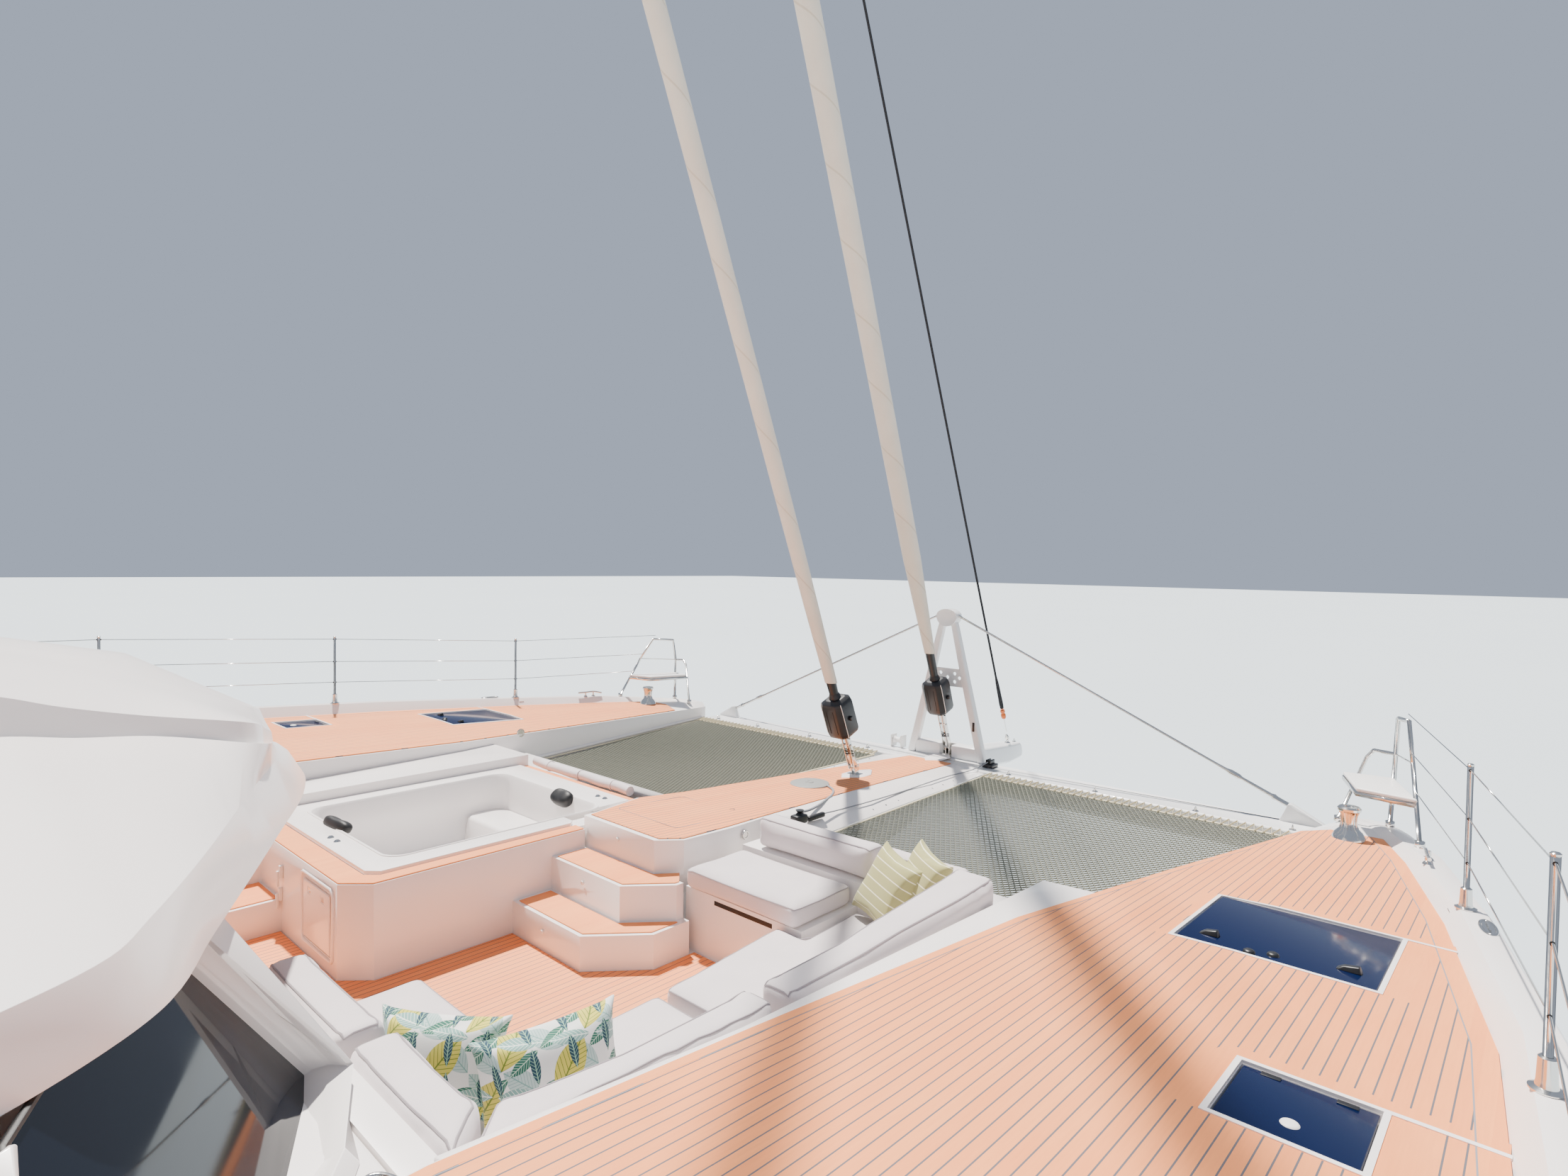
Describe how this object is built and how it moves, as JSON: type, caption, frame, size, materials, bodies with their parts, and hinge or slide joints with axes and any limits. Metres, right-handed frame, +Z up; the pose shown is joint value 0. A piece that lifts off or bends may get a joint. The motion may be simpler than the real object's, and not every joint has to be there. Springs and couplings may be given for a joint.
{
  "type": "sailing catamaran",
  "caption": "Cruising sailing catamaran with furled headsails, a sunken foredeck lounge with a plunge tub, nets, deckhouse, flybridge and mast.",
  "frame": {"origin": "on the waterline and the centreline, midway between the bowsprit's end and the transoms", "axes": "+X forward, +Y to port, +Z up"},
  "size_m": [23.73, 10.64, 29.65],
  "materials": {
    "gelcoat": "white gelcoat, polished",
    "glass": "dark tinted glass",
    "iron": "painted engine casting",
    "bronze": "propeller bronze",
    "net": "knotless braided net",
    "fabric": "woven outdoor cushion fabric",
    "green": "green woven fabric with cream stripes",
    "print": null,
    "steel": "polished stainless steel",
    "sail": "laminated sailcloth",
    "spar": "white painted spar",
    "black": "black moulded plastic",
    "teak": "scrubbed teak"
  },
  "bodies": {
    "boat": {"hull_port": "gelcoat", "hull_starboard": "gelcoat", "engine_port": "iron", "engine_starboard": "iron", "bridge_deck": "gelcoat", "nacelle": "gelcoat", "crossbeam": "gelcoat", "a_frame": "gelcoat", "bowsprit": "gelcoat", "net_port": "net", "net_starboard": "net", "lounge_bench": "gelcoat", "seat_cushions": "fabric", "seat_cushion_fore": "fabric", "back_cushions": "fabric", "back_cushion_fore": "fabric", "print_pillows": "print", "green_pillows": "green", "tub_surround": "gelcoat", "tub": "gelcoat", "house_front": "gelcoat", "front_windows": "glass", "house_side_port": "gelcoat", "house_side_starboard": "gelcoat", "side_window_port": "glass", "side_window_starboard": "glass", "house_aft": "gelcoat", "roof": "gelcoat", "flybridge": "gelcoat", "hardtop": "gelcoat", "mast": "spar", "cap_shroud_port": "steel", "cap_shroud_starboard": "steel", "jib_furler": "black", "genoa_furler": "black", "guard_rail_port": "steel", "guard_rail_starboard": "steel", "cockpit_bench": "gelcoat", "cockpit_table": "teak"},
    "rudder_port": {"rudder_port": "gelcoat"},
    "rudder_starboard": {"rudder_starboard": "gelcoat"},
    "propeller_port": {"propeller_port": "bronze"},
    "propeller_starboard": {"propeller_starboard": "bronze"},
    "helm_wheel": {"helm_wheel": "black"},
    "hatch_fore_port": {"hatch_fore_port": "glass"},
    "hatch_fore_starboard": {"hatch_fore_starboard": "glass"},
    "hatch_mid_port": {"hatch_mid_port": "glass"},
    "hatch_mid_starboard": {"hatch_mid_starboard": "glass"},
    "engine_lid_port": {"engine_lid_port": "gelcoat"},
    "engine_lid_starboard": {"engine_lid_starboard": "gelcoat"},
    "tub_door": {"tub_door": "gelcoat"},
    "aft_door": {"aft_door": "glass"},
    "tender_platform": {"tender_platform": "gelcoat"},
    "boom": {"boom": "spar", "mainsail_stack": "sail"},
    "capstan_port": {"capstan_port": "steel"},
    "capstan_starboard": {"capstan_starboard": "steel"},
    "jib": {"jib": "sail"},
    "genoa": {"genoa": "sail"}
  },
  "joints": [
    {"name": "rudder_port_turn", "type": "hinge", "parent": "boat", "child": "rudder_port", "pos_m": [-10.3, 4.12, -0.45], "axis": [0, 0, 1], "range_deg": [-35, 35]},
    {"name": "rudder_starboard_turn", "type": "hinge", "parent": "boat", "child": "rudder_starboard", "pos_m": [-10.3, -4.12, -0.45], "axis": [0, 0, 1], "range_deg": [-35, 35]},
    {"name": "propeller_port_spin", "type": "hinge", "parent": "boat", "child": "propeller_port", "pos_m": [-9.05, 4.12, -1], "axis": [1, 0, 0], "continuous": true},
    {"name": "propeller_starboard_spin", "type": "hinge", "parent": "boat", "child": "propeller_starboard", "pos_m": [-9.05, -4.12, -1], "axis": [1, 0, 0], "continuous": true},
    {"name": "helm_wheel_turn", "type": "hinge", "parent": "boat", "child": "helm_wheel", "pos_m": [-0.52, -1, 4.61], "axis": [1, 0, 0], "range_deg": [-450, 450]},
    {"name": "hatch_fore_port_lift", "type": "hinge", "parent": "boat", "child": "hatch_fore_port", "pos_m": [7.0565, 4.0845, 2.3325], "axis": [0, 1, 0], "range_deg": [0, 95]},
    {"name": "hatch_fore_starboard_lift", "type": "hinge", "parent": "boat", "child": "hatch_fore_starboard", "pos_m": [7.0565, -4.0845, 2.3325], "axis": [0, 1, 0], "range_deg": [0, 95]},
    {"name": "hatch_mid_port_lift", "type": "hinge", "parent": "boat", "child": "hatch_mid_port", "pos_m": [5.2138, 4.4385, 2.4228], "axis": [0, 1, 0], "range_deg": [0, 95]},
    {"name": "hatch_mid_starboard_lift", "type": "hinge", "parent": "boat", "child": "hatch_mid_starboard", "pos_m": [5.2138, -4.4385, 2.4228], "axis": [0, 1, 0], "range_deg": [0, 95]},
    {"name": "engine_lid_port_lift", "type": "hinge", "parent": "boat", "child": "engine_lid_port", "pos_m": [-7.19, 4.15, 2.572], "axis": [0, 1, 0], "range_deg": [0, 80]},
    {"name": "engine_lid_starboard_lift", "type": "hinge", "parent": "boat", "child": "engine_lid_starboard", "pos_m": [-7.19, -4.15, 2.572], "axis": [0, 1, 0], "range_deg": [0, 80]},
    {"name": "tub_door_swing", "type": "hinge", "parent": "boat", "child": "tub_door", "pos_m": [3.95, 0.56, 1.845], "axis": [0, 0, 1], "range_deg": [0, 110]},
    {"name": "aft_door_slide", "type": "slide", "parent": "boat", "child": "aft_door", "axis": [0, 1, 0], "range_m": [0, 1.6]},
    {"name": "tender_platform_lift", "type": "slide", "parent": "boat", "child": "tender_platform", "axis": [0, 0, -1], "range_m": [0, 0.8]},
    {"name": "boom_swing", "type": "hinge", "parent": "boat", "child": "boom", "pos_m": [0.9947, 0, 6.7], "axis": [0, 0, 1], "range_deg": [-65, 65]},
    {"name": "capstan_port_spin", "type": "hinge", "parent": "boat", "child": "capstan_port", "pos_m": [9.106, 3.957, 2.237], "axis": [0, 0, 1], "continuous": true},
    {"name": "capstan_starboard_spin", "type": "hinge", "parent": "boat", "child": "capstan_starboard", "pos_m": [9.106, -3.957, 2.237], "axis": [0, 0, 1], "continuous": true},
    {"name": "jib_roll", "type": "hinge", "parent": "boat", "child": "jib", "pos_m": [8.0322, 0, 3.27], "axis": [-0.3837, 0, 0.9235], "continuous": true},
    {"name": "genoa_roll", "type": "hinge", "parent": "boat", "child": "genoa", "pos_m": [9.8167, 0, 3.19], "axis": [-0.3444, 0, 0.9388], "continuous": true}
  ],
  "couplings": [
    {"joint": "rudder_starboard_turn", "follows": "rudder_port_turn", "ratio": 1},
    {"joint": "helm_wheel_turn", "follows": "rudder_port_turn", "ratio": 12.85}
  ]
}
